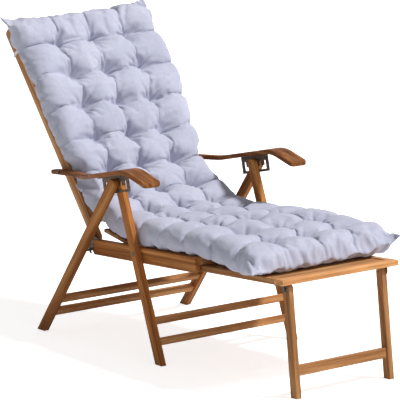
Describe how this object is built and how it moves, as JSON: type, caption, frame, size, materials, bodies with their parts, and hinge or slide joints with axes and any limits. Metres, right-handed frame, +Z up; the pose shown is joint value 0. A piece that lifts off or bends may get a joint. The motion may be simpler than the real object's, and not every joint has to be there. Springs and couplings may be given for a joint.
{
  "type": "reclining garden armchair",
  "caption": "Wooden folding reclining armchair for garden or patio, with notched arm plates, a pull-out footrest on folding legs and a long tufted cushion.",
  "frame": {"origin": "on the floor, under the middle of the chair's bounding box", "axes": "+Z up, -Y the way the sitter faces, +X to the sitter's left; X is across the chair"},
  "size_m": [0.624, 1.3874, 0.9574],
  "materials": {
    "hardwood": "oiled",
    "dark_steel": "satin",
    "cushion_cotton": "matte",
    "white_tape": "matte"
  },
  "bodies": {
    "front_legs": {"front_leg_left": "hardwood", "front_leg_right": "hardwood", "front_rail_upper": "hardwood", "front_rail_lower": "hardwood", "seat_pivot_bolts": "dark_steel", "front_leg_pins": "dark_steel"},
    "rear_legs": {"rear_leg_left": "hardwood", "rear_leg_right": "hardwood", "rear_rail_upper": "hardwood", "rear_rail_lower": "hardwood", "rear_leg_pins": "dark_steel", "seat_rest_pins": "dark_steel"},
    "seat": {"seat_rail_left": "hardwood", "seat_rail_right": "hardwood", "seat_cleats": "hardwood", "seat_front_rail": "hardwood", "seat_rear_rail": "hardwood", "seat_slats": "hardwood", "bend_wedges": "hardwood", "bend_slats": "hardwood", "seat_hooks": "dark_steel", "hook_screws": "dark_steel", "back_pivot_bolts": "dark_steel", "back_pivot_nuts": "dark_steel", "back_pivot_sleeves": "dark_steel", "cushion_seat": "cushion_cotton"},
    "back": {"back_stile_left": "hardwood", "back_stile_right": "hardwood", "back_rail_top": "hardwood", "back_rail_bottom": "hardwood", "back_slats": "hardwood", "arm_pivot_bolts": "dark_steel", "arm_pivot_nuts": "dark_steel", "cushion_back": "cushion_cotton", "cushion_ties": "white_tape"},
    "arm_left": {"arm_left": "hardwood", "notch_plate_left": "dark_steel", "plate_screws_left": "dark_steel"},
    "arm_right": {"arm_right": "hardwood", "notch_plate_right": "dark_steel", "plate_screws_right": "dark_steel"},
    "footrest": {"footrest_rail_left": "hardwood", "footrest_rail_right": "hardwood", "footrest_board": "hardwood", "footrest_rear_rail": "hardwood", "footrest_slats": "hardwood", "footrest_studs": "dark_steel", "leg_hinge_plates": "dark_steel", "leg_hinge_bolts": "dark_steel"},
    "footrest_legs": {"footrest_leg_left": "hardwood", "footrest_leg_right": "hardwood", "footrest_leg_rail": "hardwood"}
  },
  "joints": [
    {"name": "fold", "type": "hinge", "parent": "front_legs", "child": "seat", "pos_m": [0, -0.02962, 0.318], "axis": [1, 0, 0], "range_deg": [0, 45]},
    {"name": "rear_legs_fold", "type": "hinge", "parent": "front_legs", "child": "rear_legs", "pos_m": [0, 0.04788, 0.52], "axis": [1, 0, 0], "range_deg": [-45, 0]},
    {"name": "recline", "type": "hinge", "parent": "seat", "child": "back", "pos_m": [0, 0.22591, 0.32056], "axis": [-1, 0, 0], "range_deg": [-14.6, 14.6]},
    {"name": "arm_left_tilt", "type": "hinge", "parent": "back", "child": "arm_left", "pos_m": [0.237, 0.37143, 0.50293], "axis": [-1, 0, 0], "range_deg": [-9.93, 9.93]},
    {"name": "arm_right_tilt", "type": "hinge", "parent": "back", "child": "arm_right", "pos_m": [-0.237, 0.37143, 0.50293], "axis": [-1, 0, 0], "range_deg": [-9.93, 9.93]},
    {"name": "footrest_slide", "type": "slide", "parent": "seat", "child": "footrest", "axis": [0, 0.9981, -0.0619], "range_m": [0, 0.33]},
    {"name": "footrest_leg_fold", "type": "hinge", "parent": "footrest", "child": "footrest_legs", "pos_m": [0, -0.64062, 0.312], "axis": [1, 0, 0], "range_deg": [0, 93]}
  ],
  "couplings": [
    {"joint": "rear_legs_fold", "follows": "fold", "ratio": -1},
    {"joint": "arm_left_tilt", "follows": "recline", "ratio": -0.68},
    {"joint": "arm_right_tilt", "follows": "recline", "ratio": -0.68}
  ]
}
